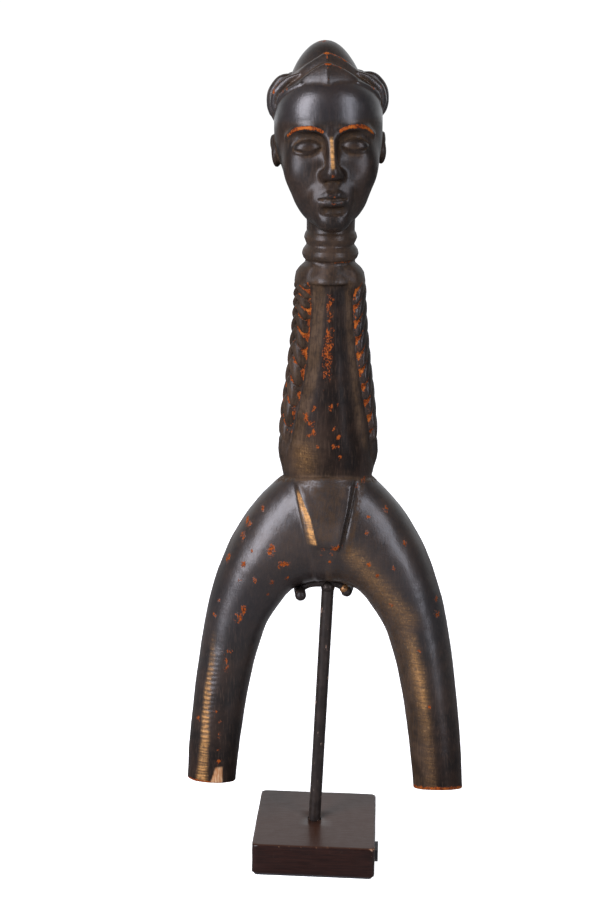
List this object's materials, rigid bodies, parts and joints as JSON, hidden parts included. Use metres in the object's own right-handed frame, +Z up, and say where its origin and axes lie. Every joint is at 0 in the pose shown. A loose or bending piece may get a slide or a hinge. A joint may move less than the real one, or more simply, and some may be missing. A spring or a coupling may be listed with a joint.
{
  "type": "carved slingshot frame on stand",
  "caption": "Carved wooden slingshot frame with a head, ringed neck and braided torso above a two-legged fork, lifted off a rod stand on a square block.",
  "frame": {"origin": "middle of the stand's underside, on the table", "axes": "+Z up along the carving, -Y the front with the face, +X to the right of the front view"},
  "size_m": [0.0904, 0.0413, 0.2624],
  "materials": {
    "carved_wood": "dark oiled patina, satin to gloss, worn to orange wood on the ridges",
    "stained_block": "dark stained hardwood, satin",
    "blackened_steel": "black paint, satin, a few chips",
    "brass_braze": "tarnished",
    "zinc_steel": "zinc plated",
    "felt": "black felt",
    "tag_plate": "matt black"
  },
  "bodies": {
    "stand": {"base_block": "stained_block", "support_rod": "blackened_steel", "cradle_wire": "blackened_steel", "left_cradle_bar": "blackened_steel", "right_cradle_bar": "blackened_steel", "braze_beads": "brass_braze", "rod_nut": "zinc_steel", "rod_washer": "zinc_steel", "base_felt": "felt", "side_tag": "tag_plate"},
    "figure": {"carved_figure": "carved_wood"}
  },
  "joints": [
    {"name": "figure_lift", "type": "slide", "parent": "stand", "child": "figure", "axis": [0, 0, 1], "range_m": [0, 0.09]}
  ]
}
